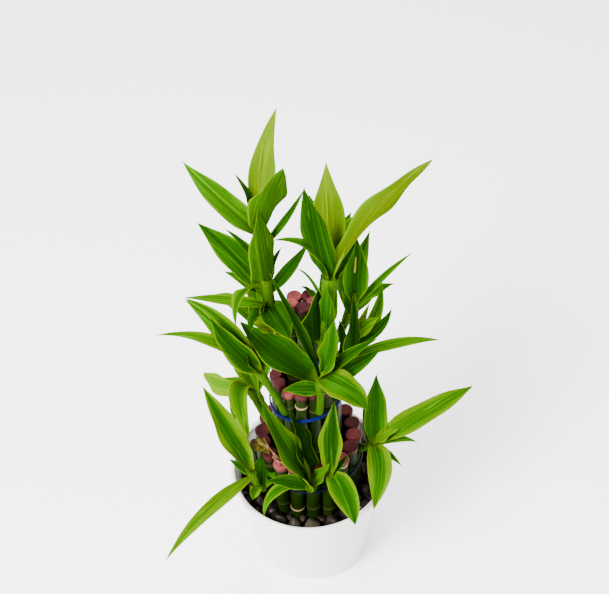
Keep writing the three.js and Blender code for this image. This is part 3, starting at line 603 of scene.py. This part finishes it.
shoots = [
    {"name": "upper_left", "slot": "bright_leaf",
     "stem": [[-12.5, -3.7, 240], [-28, -6, 288], [-24, -8, 358]],
     "sleeves": [(0.62, 0.34, 4.8, 200), (0.97, 0.2, 4.2, 280)],
     "leaves": [
        (1, 83, 74, 22, 78, 17, 5, -31, 0.85, 0.95),
        (0.93, 177, 51, 22, 71, 17, -25, -42, 0.4, 0.42),
        (0.93, 325, 76, 12, 75, 26, -17, -21, 0.48, 0.35),
        (0.9, 148, 85, 24, 56, 13, 0, 20, 0.4, 0.6),
        (0.45, 266, 82, 1, 95, 22, 45, -11, 0.42, 0.4),
        (0.52, 153, 49, 42, 68, 20, -17, -20, 0.12, 0.42),
        (0.7, 150, 58, 18, 40, 6, -11, 21, 0.15, 0.3),
        (0.5, 168, 40, 20, 34, 9, -30, 0, 0.3, 0.4),
        (0.5, 198, 59, 117, 53, 13, 33, 80, 0.35, 0.8),
        (0.85, 17, 45, 0, 50, 5, 48, 27, 0.25, 0.3),
        (0.58, 40, 68, 14, 31, 6, 9, -16, 0.2, 0.3),
        (0.5, 11, 50, 11, 48, 9, 45, 28, 0.08, 0.3),
        (0.4, 187, 24, 14, 61, 8, -44, 0, 0.45, 0.6),
        (0.42, 213, 7, 96, 26, 20, 36, 27, 0.06, 0.3),
        (0.42, 285, 11, 53, 33, 22, 5, 22, 0.04, 0.3),
        (0.2, 196, 28, 16, 18, 17, -16, -18, 0.8, 0.9),
    ]},
    {"name": "upper_right", "slot": "bright_leaf",
     "stem": [[11.7, -5.8, 240], [15.5, -12, 270], [19.6, -13, 315]],
     "sleeves": [(0.96, 0.42, 5.6, 270)],
     "leaves": [
        (1, 87, 67, 6, 77, 25, -21, 8, 0.85, 0.95),
        (0.97, 29, 59, 6, 120, 26, -60, -60, 1, 1),
        (0.9, 200, 78, -3, 96, 20, 48, 25, 0.15, 0.35),
        (0.85, 173, 95, 93, 71, 10, -27, 21, 0.35, 0.5),
        (0.9, 30, 53, 12, 38, 6, 24, 16, 0.25, 0.5),
        (0.12, 287, 74, -8, 70, 15, -47, -4, 0.25, 0.35),
        (0.1, 255, 72, -29, 57, 27, 64, -14, 0.03, 0.2),
        (0.12, 313, 67, -28, 69, 9, -19, 8, 0.35, 0.4),
        (0.4, 114, 70, 132, 43, 4, 2, 15, 0, 0.1),
        (0.5, 119, 78, 124, 50, 3, 5, 7, 0.3, 0.3),
    ]},
    {"name": "right", "slot": "dark_leaf",
     "stem": [[25.9, 1.5, 194], [35, 3, 206], [36, 3, 282]],
     "leaves": [
        (0.95, 70, 80, 15, 48, 18, 12, 13, 0.25, 0.5, 1),
        (0.9, 20, 50, 24, 59, 5, 49, 0, 0.3, 0.55),
        (0.85, 131, 60, 20, 19, 9, -20, 0, 0.2, 0.3),
        (0.5, 21, 39, -2, 59, 10, 20, 69, 0.35, 0.55),
        (0.6, 346, 32, 7, 41, 9, 39, 80, 0.05, 0.2),
        (0.66, 6, 48, 12, 26, 11, 35, 0, 0.5, 0.7),
        (0.45, 1, 24, 53, 71, 8, 43, 16, 0.45, 0.6),
        (0.3, 57, 63, 16, 52, 9, 24, -10, 0.8, 0.9),
        (0.24, 300, 73, -26, 86, 13, -4, 8, 0.05, 0.25),
        (0.15, 93, 63, 1, 43, 21, 55, 9, 0, 0.3),
    ]},
    {"name": "front_upper", "slot": "dark_leaf",
     "stem": [[8.9, -24.4, 189], [10.5, -31, 212], [9.5, -36, 241]],
     "leaves": [
        (0.9, 161, 28, 16, 71, 28, 0, -30, 0.08, 0.3),
        (0.85, 162, 79, 33, 96, 10, 10, -35, 0.05, 0.3),
        (0.9, 15, 66, -8, 50, 22, -27, 75, 0.25, 0.5),
        (1, 318, 15, 90, 46, 22, 10, 30, 0.2, 0.72),
        (0.7, 195, 30, 25, 29, 11, -40, 0, 0.2, 0.4),
        (0.95, 12, 48, 19, 54, 8, 32, -10, 0.08, 0.35),
        (0.85, 6, 27, 16, 50, 13, 44, 25, 0.12, 0.4),
    ]},
    {"name": "left", "slot": "bright_leaf",
     "stem": [[-15.8, -20.8, 186], [-21, -24, 207], [-32, -27, 240]],
     "leaves": [
        (1, 135, 58, 54, 75, 11, -39, 19, 0.3, 0.85),
        (0.95, 146, 50, 56, 78, 16, -40, -12, 0.25, 0.55),
        (0.98, 186, 57, 19, 56, 18, -61, -61, 0.05, 0.5),
        (0.9, 160, 53, 48, 86, 10, -21, 34, 0.5, 0.75),
        (0.95, 126, 57, 19, 34, 21, 26, 10, 0.03, 0.35),
    ]},
    {"name": "left_low", "slot": "bright_leaf",
     "stem": [[-25, -13, 158], [-33, -12, 175], [-41, -13, 207]],
     "leaves": [
        (1, 195, 14, 45, 44, 18, -76, -91, 0.55, 1),
        (0.95, 227, 68, 166, 68, 14, 0, 89, 0.4, 0.9),
        (0.98, 213, 33, 116, 33, 12, 37, 75, 0.15, 0.6),
    ]},
    {"name": "rim_left", "slot": "bright_leaf",
     "stem": [[-34.2, -22.2, 106], [-37, -38, 106], [-44, -30, 130]],
     "leaves": [
        (1, 143, 61, 22, 77, 23, 8, -19, 0.25, 1),
        (0.9, 224, 15, 55, 96, 11, -40, 0, 0.6, 0.9),
        (0.9, 157, 37, 18, 23, 6, -27, -7, 0.1, 0.3),
        (0.4, 71, 62, -8, 35, 21, 40, 17, 0.2, 0.35),
        (0.6, 240, 0, 60, 12, 9, 0, 0, 0.4, 0.6),
    ]},
    {"name": "front", "slot": "dark_leaf",
     "stem": [[1.8, -40.2, 122], [0.8, -46, 126], [0, -51.5, 135]],
     "leaves": [
        (1, 174, 70, 18, 86, 27, 14, -51, 0.3, 0.65),
        (0.1, 135, 77, 2, 80, 28, 25, 8, 0, 0.25),
        (1, 20, 47, 2, 25, 15, -20, 18, 0.45, 0.4),
        (0.95, 141, 39, 6, 23, 8, 21, -8, 0.55, 0.6),
        (0.7, 169, 27, 55, 35, 11, -23, 0, 0.05, 0.4),
        (0.5, 161, 16, 110, 54, 9, -6, 77, 0.25, 0.75),
    ]},
    {"name": "front_right", "slot": "dark_leaf",
     "stem": [[15.8, -37.2, 123], [16.5, -43, 130], [15.5, -46, 145]],
     "leaves": [
        (1, 83, 68, 8, 58, 19, -21, -6, 0.08, 0.75),
        (0.9, 293, 26, 112, 49, 19, 11, 3, 0.2, 0.65),
        (0.9, 27, 41, 8, 20, 5, 20, 11, 0.15, 0.35),
    ]},
    {"name": "rim_right", "slot": "bright_leaf",
     "stem": [[39.5, -7, 122], [43.5, -10.5, 128], [49, -15, 137]],
     "leaves": [
        (1, 83, 60, 13, 55, 20, 25, 0, 0.25, 0.5),
        (1, 4, 38, 62, 97, 19, 10, 42, 0.42, 0.75),
        (1, 1, 46, 13, 25, 13, -8, 1, 0.6, 0.7),
        (0.9, 5, 30, 37, 37, 7, 33, -31, 0.35, 0.5),
        (0.8, 324, 15, 42, 31, 6, 38, -12, 0.3, 0.45),
        (0.95, 288, 20, 83, 58, 19, -4, -46, 0.3, 0.85),
        (0.7, 98, 67, 9, 45, 7, 4, 0, 0.1, 0.25),
    ]},
    {"name": "upper_back", "slot": "dark_leaf",
     "stem": [[7.2, 10.8, 246], [15, 20, 268], [20, 27, 296]],
     "leaves": [
        (1, 90, 62, 25, 48, 14, 0, 0, 0.35, 0.6),
        (0.97, 25, 52, 30, 50, 14, 10, 0, 0.3, 0.5),
        (0.94, 113, 53, 27, 48, 13, -12, -7, 0.25, 0.5),
        (0.7, 66, 37, 35, 54, 13, 2, -3, 0.3, 0.55),
    ]},
    {"name": "back_right", "slot": "dark_leaf",
     "stem": [[15.4, 21.4, 194], [26, 32, 204], [35, 40, 230]],
     "leaves": [
        (1, 60, 68, 25, 60, 15, 0, 0, 0.35, 0.6),
        (0.96, -2, 52, 30, 43, 14, 11, 0, 0.3, 0.5),
        (0.92, 95, 50, 40, 60, 14, 0, 0, 0.25, 0.5),
        (0.7, 45, 31, 51, 50, 12, -8, 0, 0.3, 0.55),
    ]},
    {"name": "back_left", "slot": "dark_leaf",
     "stem": [[-17.4, 19.7, 192], [-27, 31, 200], [-31, 38, 230]],
     "leaves": [
        (1, 115, 68, 25, 60, 15, 0, 0, 0.35, 0.6),
        (0.96, 183, 50, 41, 46, 14, -7, -4, 0.3, 0.5),
        (0.92, 85, 50, 40, 60, 14, 0, 0, 0.25, 0.5),
        (0.7, 140, 34, 50, 52, 12, 0, 0, 0.3, 0.55),
    ]},
    {"name": "rim_back_right", "slot": "dark_leaf",
     "stem": [[12, 39, 122], [15, 46, 124], [18, 51, 137]],
     "leaves": [
        (1, 87, 60, 34, 67, 17, -5, 0, 0.35, 0.6),
        (0.95, 30, 45, 40, 56, 14, 0, 0, 0.3, 0.5),
        (0.95, 112, 50, 40, 56, 14, 0, 0, 0.25, 0.5),
        (0.8, 60, 20, 60, 60, 15, 0, 0, 0.3, 0.55),
    ]},
    {"name": "rim_back_left", "slot": "dark_leaf",
     "stem": [[-28.1, 30.2, 122], [-34, 37, 124], [-39, 43, 135]],
     "leaves": [
        (1, 130, 60, 30, 66, 16, 0, 0, 0.35, 0.6),
        (0.95, 181, 38, 23, 42, 14, -7, 0, 0.3, 0.5),
        (0.95, 72, 44, 40, 55, 14, -4, 0, 0.25, 0.5),
        (0.8, 118, 23, 64, 58, 14, 8, 0, 0.3, 0.55),
    ]},
]
leaf = {"rows": 44, "across": 9, "steps": 240, "hook": 1.3, "even": 0.55, "base": 0.26, "push": 0.8,
        "narrowing": 0.25, "fold": 0.2, "baseFold": 0.6, "wave": 0.16, "waves": 2.2, "waveFrom": 0.12,
        "thick": 0.34, "rib": 0.3, "ribHalf": 0.16, "thinUnder": 1.2,
        "middle": [(0, (0.0035, 0.022, 0.0002)), (0.25, (0.012, 0.067, 0.0004)),
                   (0.5, (0.027, 0.096, 0.0002)), (0.75, (0.05, 0.11, 0.0002)), (1, (0.07, 0.118, 0.0002))],
        "limeDark": (0.042, 0.098, 0.0001), "limeLight": (0.082, 0.145, 0.0002),
        "rim": (0.075, 0.155, 0.0006), "foot": (0.06, 0.12, 0.0005), "tip": (0.10, 0.09, 0.01),
        "scar": (0.3, 0.26, 0.05), "roughness": (0.36, 0.6),
        # tones that the colour under them is multiplied by; the last two are painted light on the leaves with
        # full lime margins and painted shade on the undersides
        "lighter": (2.3, 1.8, 1.9), "darker": (0.6, 0.72, 0.6), "core": (0.38, 0.5, 0.5),
        "paintedLight": (1.3, 1.3, 1), "under": (0.45, 0.5, 0.5)}
stem = {"radius": 2.75, "rows": 40, "sides": 20, "taper": 0.12, "roundFrom": 1.02, "round": 0.05, "tall": 20,
        "collar": 3.35, "collarReach": 0.16, "collarRows": 12, "slant": 3.2, "lipIn": 0.22,
        "streaks": 700, "lip": (0.045, 0.105, 0.0004), "lipShare": 0.4,
        "greens": [(0.3, (0.012, 0.048, 0.0001)), (0.6, (0.032, 0.095, 0.0003)),
                   (0.8, (0.045, 0.105, 0.0004))]}


def level(degrees):
    # the cosine and the sine of each heading, with no height
    angle = np.radians(degrees)
    return np.stack([np.cos(angle), np.sin(angle), np.zeros_like(angle)], -1)


def leafDirection(s, heading, rise, droop, swing):
    # heading turns evenly by the swing, and the rise falls off by the droop times s to the power of hook
    up = np.radians(rise - droop * s ** leaf["hook"])
    direction = level(heading + swing * s) * np.cos(up)[:, None]
    direction[:, 2] = np.sin(up)
    return direction


def bladeShape(s):
    # a half sine pushed towards the base, narrowed to the tip, joined to a narrow sheath at the base
    blade = np.sin(np.pi * s ** leaf["push"]) * (1 - leaf["narrowing"] * s ** 4)
    return np.hypot(np.maximum(blade, 0), leaf["base"] * (1 - s) ** 3)


def turnedAbout(vectors, axes, degrees):
    # each vector turned about its own axis, which is at right angles to it: the vector times the cosine plus
    # axis x vector times the sine
    angle = math.radians(degrees)
    return vectors * math.cos(angle) + np.cross(axes, vectors) * math.sin(angle)


def leafSurface(start, row, seed):
    # a thin closed blade along a path that adds up its direction step by step: its section is an arc over
    # the width, and its upper and under side, either side of the arc, meet at the margins
    heading, rise, droop, length, width, turn, swing, bright, lime, *scar = row[1:]
    steps = leaf["steps"]
    fine = np.linspace(0, 1, steps + 1)
    path = leafDirection(fine[:-1] + 0.5 / steps, heading, rise, droop, swing) * length / steps
    path = np.concatenate([[start], start + np.cumsum(path, 0)])
    even = np.linspace(0, 1, leaf["rows"])
    s = (1 - leaf["even"]) * (0.5 - 0.5 * np.cos(even * np.pi)) + leaf["even"] * even
    centre = np.stack([np.interp(s, fine, path[:, axis]) for axis in range(3)], -1)
    along = leafDirection(s, heading, rise, droop, swing)
    side = turnedAbout(level(heading + swing * s + 90), along, turn)
    face = np.cross(along, side)
    half = 0.5 * width * bladeShape(s)
    bend = 2 * np.arctan(leaf["fold"] + leaf["baseFold"] * (1 - s) ** 4)
    ripple = leaf["wave"] * np.sin(2 * np.pi * leaf["waves"] * s + heading)
    swell = half * ripple * np.clip((s - leaf["waveFrom"]) / 0.1, 0, 1)
    over = np.sin(np.linspace(-0.5, 0.5, leaf["across"]) * np.pi)
    u = np.concatenate([over, over[-2:0:-1]])
    body = np.concatenate([np.ones(leaf["across"]), -np.ones(leaf["across"] - 2)])  # 1 above, -1 below
    arc = bend[:, None] * u
    out = half[:, None] * np.sin(arc) / np.sin(bend)[:, None]
    lift = half[:, None] * (1 - np.cos(arc)) / np.sin(bend)[:, None] + swell[:, None] * u * np.abs(u)
    rib = leaf["rib"] * np.exp(-(u / leaf["ribHalf"]) ** 2) * (body < 0) * (1 - s[:, None])
    thick = 0.5 * leaf["thick"] * np.sqrt(1 - u ** 2) + rib
    lift = lift + body * thick * np.minimum(1, half / leaf["thinUnder"])[:, None]
    points = centre[:, None] + side[:, None] * out[..., None] + face[:, None] * lift[..., None]
    points[-1] = centre[-1]
    rows, count = leaf["rows"] - 1, len(u)

    def spread(values, foot, tip):
        # one value for each point of the rows, then one for the foot's middle and one for the tip
        return np.concatenate([np.broadcast_to(values, (rows, count)).reshape(-1), [foot, tip]])

    marks = {"across": spread(u, 0, 0), "along": spread(s[:-1, None], 0, 1), "under": spread(body < 0, 1, 0),
             "half": spread(half[:-1, None], half[0], 0), "length": length, "bright": bright, "lime": lime,
             "scar": float(len(scar) > 0), "seed": seed}
    points = np.concatenate([points[:-1].reshape(-1, 3), centre[:1], centre[-1:]])
    return points, shellFaces(rows, count), marks


def stemPlace(points, t):
    # first, middle and last point in the shares (1 - t) squared, 2t (1 - t) and t squared
    first, middle, last = np.array(points, float)
    t = np.asarray(t, float)[..., None]
    return (1 - t) ** 2 * first + 2 * t * (1 - t) * middle + t ** 2 * last


def stemSurface(points):
    # a tube along the stem's curve, a little slimmer at the top and rounded off there
    t = np.linspace(0, 1, stem["rows"])
    blunt = np.sqrt(np.clip((stem["roundFrom"] - t) / stem["round"], 0, 1))
    radius = stem["radius"] * blunt * (1 - stem["taper"] * t)
    path = stemPlace(points, t)
    upright = abs(path[-1, 2] - path[0, 2]) > stem["tall"]
    ring, faces, _ = tubeSurface(path, radius, stem["sides"], (1, 0.3, 0) if upright else (0.3, 0.1, 1))
    return ring, faces, {"along": 0.4}


def collarSurface(points, at, reach, width, heading):
    # the sheath of one leaf: a sleeve round the stem that widens by a quarter sine and is drawn up, by the
    # square of its length, on the leaf's own side, with its lip turned in
    sides, radius = stem["sides"], stem["radius"]
    t = np.linspace(at - min(reach, 0.9 * at), min(at + 0.02, 1), stem["collarRows"])
    path = stemPlace(points, t)
    along = unit(np.gradient(path, axis=0))
    side = unit(np.cross(along, level(np.full(len(t), float(heading)))))
    lead = np.cross(side, along)
    angle = fullTurn(sides)
    cos, sin = np.cos(angle)[:, None], np.sin(angle)[:, None]
    share = np.linspace(0, 1, len(t))
    radius = (radius + (width - radius) * np.sin(share * np.pi / 2) + 0.05)[:, None, None]
    slant = (share ** 2)[:, None, None] * cos * along[:, None] * stem["slant"]
    ring = path[:, None] + radius * (lead[:, None] * cos + side[:, None] * sin) + slant
    inner = ring[-1] * (1 - stem["lipIn"]) + path[-1] * stem["lipIn"] - along[-1] * 0.5
    points = np.concatenate([*ring, inner, path[:1], inner.mean(0)[None] - along[-1] * 2])
    marks = {"along": np.concatenate([np.repeat([*share, 1], sides), [0, 1]])}
    return points, shellFaces(len(t) + 1, sides), marks


def leafMaterial(name):
    # veins, stripes and margins are blended one over another on the blade's own sideways and lengthways
    material, tree, shader = newMaterial(name, Specular_IOR_Level=0.0, Subsurface_Weight=0.15,
                                         Subsurface_Scale=0.001, Subsurface_Radius=(0.6, 1.0, 0.05))
    across, along, under = mark(tree, "across"), mark(tree, "along"), mark(tree, "under")
    bright, lime = mark(tree, "bright"), mark(tree, "lime")
    sideways = times(tree, across, mark(tree, "half"))
    lengthways = times(tree, along, times(tree, mark(tree, "length"), 0.035))
    shift = times(tree, mark(tree, "seed"), 91)

    def veins(narrow, long, offset, detail, roughness=0.5):
        # a noise drawn out along the blade, from another part of its cloud for each leaf
        place = vector(tree, times(tree, sideways, narrow), times(tree, lengthways, long),
                       plus(tree, shift, offset))
        return noise(tree, place, 1, detail, roughness)

    fine, broad, cloud = veins(2.4, 1, 0, 3, 0.6), veins(0.7, 1, 40, 2), veins(0.3, 3, 0, 2)
    middle = ramp(tree, bright, *leaf["middle"])
    lighter, darker = toned(tree, middle, leaf["lighter"]), toned(tree, middle, leaf["darker"])
    colour = blend(tree, times(tree, step(tree, fine, 0.42, 0.68), 0.55), middle, lighter)
    colour = blend(tree, step(tree, broad, 0.52, 0.7, 0, 0.75), colour, darker)

    edge = maths(tree, "ABSOLUTE", across)  # dark core stripe along the midrib of the greener leaves
    core = step(tree, plus(tree, edge, sway(tree, broad, 0.8)), 0.2, 0.5, 0.65, 0)
    core = times(tree, core, step(tree, bright, 0.3, 0.7, 1, 0))
    colour = blend(tree, core, colour, toned(tree, middle, leaf["core"]))
    line = step(tree, awayFrom(tree, veins(0.38, 0.25, 17, 0), 0.5), 0.01, 0.055, 0.9, 0)  # thin pale veins
    colour = blend(tree, times(tree, line, step(tree, bright, 0.5, 0.9, 1, 0.4)), colour, lighter)

    ragged = plus(tree, plus(tree, edge, sway(tree, broad, 0.5)), sway(tree, fine, 0.25))  # lime margins
    low = maths(tree, "SUBTRACT", 1.05, times(tree, lime, 0.68))
    limed = step(tree, ragged, low, plus(tree, low, 0.16))
    limeShare = times(tree, limed, step(tree, lime, 0.2, 0.75, 0.25, 0.95))
    colour = blend(tree, limeShare, colour, blend(tree, fine, leaf["limeDark"], leaf["limeLight"]))
    colour = blend(tree, step(tree, edge, 0.88, 0.96, 0, 0.75), colour, leaf["rim"])
    colour = blend(tree, step(tree, along, 0.0, 0.16, 0.8, 0), colour, leaf["foot"])

    tip = step(tree, plus(tree, along, times(tree, cloud, 0.03)), 0.975, 1.01, 0, 0.7)  # dried tip
    colour = blend(tree, tip, colour, leaf["tip"])
    # painted light: the leaves with full lime margins are made 1.3 times lighter, which lifts their shaded
    # parts
    colour = blend(tree, step(tree, lime, 0.96, 1), colour, toned(tree, colour, leaf["paintedLight"]))
    # painted shade: the undersides are darkened, 0.6 of the way to the colour times the under tone
    colour = blend(tree, times(tree, under, 0.6), colour, toned(tree, colour, leaf["under"]))
    beside = awayFrom(tree, plus(tree, across, times(tree, fine, 0.2)), 0.2)  # dried scar beside the midrib
    torn = times(tree, step(tree, beside, 0.05, 0.1, 1, 0),
                 step(tree, awayFrom(tree, along, 0.6), 0.1, 0.14, 1, 0))
    colour = blend(tree, times(tree, torn, mark(tree, "scar")), colour, leaf["scar"])
    feed(tree, shader.inputs["Base Color"], colour)
    dull = plus(tree, fine, times(tree, under, 0.3))
    feed(tree, shader.inputs["Roughness"], step(tree, dull, 0.3, 0.9, *leaf["roughness"]))
    bump(tree, shader, plus(tree, fine, times(tree, broad, 1.5)), 0.3, 0.0005)
    return material


def sheathMaterial():
    # three greens by upright streaks, paler towards the lip of each sheath
    material, tree, shader = newMaterial("paleSheath", Specular_IOR_Level=0.01,
                                         Specular_Tint=(0.8, 1, 0.3, 1), Subsurface_Weight=0.1,
                                         Subsurface_Scale=0.001)
    streak = noise(tree, squeezed(tree, objectPlace(tree), 0.08), stem["streaks"], 3, 0.6)
    lip = step(tree, mark(tree, "along"), 0.75, 1.0, 0, stem["lipShare"])
    colour = blend(tree, lip, ramp(tree, streak, *stem["greens"]), stem["lip"])
    feed(tree, shader.inputs["Base Color"], colour)
    bump(tree, shader, streak, 0.25, 0.0004)
    return material


sheathSkin = sheathMaterial()
leafSkins = {name: leafMaterial(name) for name in ("bright_leaf", "dark_leaf")}
random = np.random.default_rng(23)
for shoot in shoots:
    node, curve, slot = "shoot_" + shoot["name"], shoot["stem"], shoot["slot"]
    blades = [leafSurface(stemPlace(curve, row[0]), row, random.uniform()) for row in shoot["leaves"]]
    collars = [(row[0], stem["collarReach"], stem["collar"], row[1]) for row in shoot["leaves"]]
    collars += shoot.get("sleeves", [])
    makePiece(node + "_leaves", blades, leafSkins[slot], [node])
    makePiece(node + "_stem", [stemSurface(curve)] + [collarSurface(curve, *collar) for collar in collars],
              sheathSkin, [node])
print("stage 5: shoots")

# dried sheaths and pale roots that lie on the wax tips at the left front: a sheath is its start, then
# heading, rise, droop, length, width, turn and swing as in a leaf row; a root is three points of its curve
# and its radius at the start and the end

litter = {"sheaths": [((-44, -9, 137.5), (322, 22, 50, 17, 10, 20, 0)),
                      ((-39, -6, 138.5), (300, 12, 30, 20, 9, -10, 0))],
          "roots": [(((-37, -11, 138.5), (-30, -16, 143), (-22, -27, 138.3)), (0.7, 0.5)),
                    (((-33, -10, 138.5), (-26, -23, 142), (-22, -32, 138)), (0.9, 0.5)),
                    (((-27, -24, 138.5), (-24, -32, 141), (-17, -30, 138)), (0.8, 0.6))],
          "rows": 24, "sides": 14, "grain": 380,
          "sheathTones": [(0.3, (0.008, 0.006, 0.0006)), (0.5, (0.04, 0.032, 0.002)),
                          (0.7, (0.12, 0.10, 0.01))],
          "rootTones": [(0.3, (0.03, 0.01, 0.005)), (0.5, (0.10, 0.04, 0.02)), (0.7, (0.26, 0.13, 0.07))]}


def rootSurface(points, radii):
    # a tube along the curve of its three points, which thins evenly from one radius to the other
    path = stemPlace(points, np.linspace(0, 1, litter["rows"]))
    return tubeSurface(path, np.linspace(*radii, litter["rows"]), litter["sides"], (0, 0.2, 1))


def driedMaterial(name, tones):
    # three tones by a fine grain
    material, tree, shader = newMaterial(name, 0.6, Specular_IOR_Level=0.15, Specular_Tint=(1, 0.85, 0.5, 1))
    grain = noise(tree, objectPlace(tree), litter["grain"], 4, 0.65)
    feed(tree, shader.inputs["Base Color"], ramp(tree, grain, *tones))
    bump(tree, shader, grain, 0.5, 0.0006)
    return material


driedBlades = [leafSurface(np.array(start, float), (0, *row, 0, 0), 0.5) for start, row in litter["sheaths"]]
makePiece("driedSheaths", driedBlades, driedMaterial("driedSheath", litter["sheathTones"]))
makePiece("paleRoots", [rootSurface(*root) for root in litter["roots"]],
          driedMaterial("paleRoot", litter["rootTones"]))
print("stage 6: dried sheaths and roots")

# floor, light and camera

studio = {"floor": 30.0, "paper": (0.93, 0.93, 0.93, 1), "white": (1, 1, 1, 1), "world": 0.9,
          "lights": [("keyLight", (-0.9, -0.9, 1.5), 0.8, 140), ("fillLight", (1.1, -0.7, 0.9), 0.9, 5),
                     ("topLight", (0.1, 0.5, 1.7), 1.0, 35)],  # name, place, size and power
          "aim": (0, 0, 0.2)}

floorMesh = bpy.data.meshes.new("floor")
corners = [(x * studio["floor"], y * studio["floor"], 0) for x, y in ((-1, -1), (1, -1), (1, 1), (-1, 1))]
floorMesh.from_pydata(corners, [], [(0, 1, 2, 3)])
floor = bpy.data.objects.new("floor", floorMesh)
bpy.context.scene.collection.objects.link(floor)
paper = newMaterial("paleFloor", 0.9, Base_Color=studio["paper"], Emission_Color=studio["white"],
                    Emission_Strength=1.0)[0]
floorMesh.materials.append(paper)

for name, place, size, power in studio["lights"]:
    light = bpy.data.lights.new(name, "AREA")
    light.shape = "DISK"
    light.size = size
    light.energy = power
    lamp = bpy.data.objects.new(name, light)
    lamp.location = place
    lamp.rotation_euler = (Vector(place) - Vector(studio["aim"])).to_track_quat("Z", "Y").to_euler()
    bpy.context.scene.collection.objects.link(lamp)

world = bpy.data.worlds.new("studioWhite")
world.use_nodes = True
background = world.node_tree.nodes["Background"]
background.inputs["Color"].default_value = studio["white"]
background.inputs["Strength"].default_value = studio["world"]
bpy.context.scene.world = world

view = {"place": (0, -0.6004, 0.8957), "aim": (0.0017, 0, 0.2834), "roll": -2.4, "lens": 74.48, "sensor": 36}
cameraData = bpy.data.cameras.new("photoView")
cameraData.lens = view["lens"]
cameraData.sensor_width = view["sensor"]
camera = bpy.data.objects.new("photoView", cameraData)
forward = (Vector(view["aim"]) - Vector(view["place"])).normalized()
levelRight = forward.cross(Vector((0, 0, 1))).normalized()
levelUp = levelRight.cross(forward)
roll = math.radians(view["roll"])
right = math.cos(roll) * levelRight + math.sin(roll) * levelUp
up = -math.sin(roll) * levelRight + math.cos(roll) * levelUp
camera.matrix_world = Matrix((right, up, -forward)).transposed().to_4x4()
camera.location = view["place"]
bpy.context.scene.collection.objects.link(camera)
bpy.context.scene.camera = camera
print("stage 7: floor, light and camera")
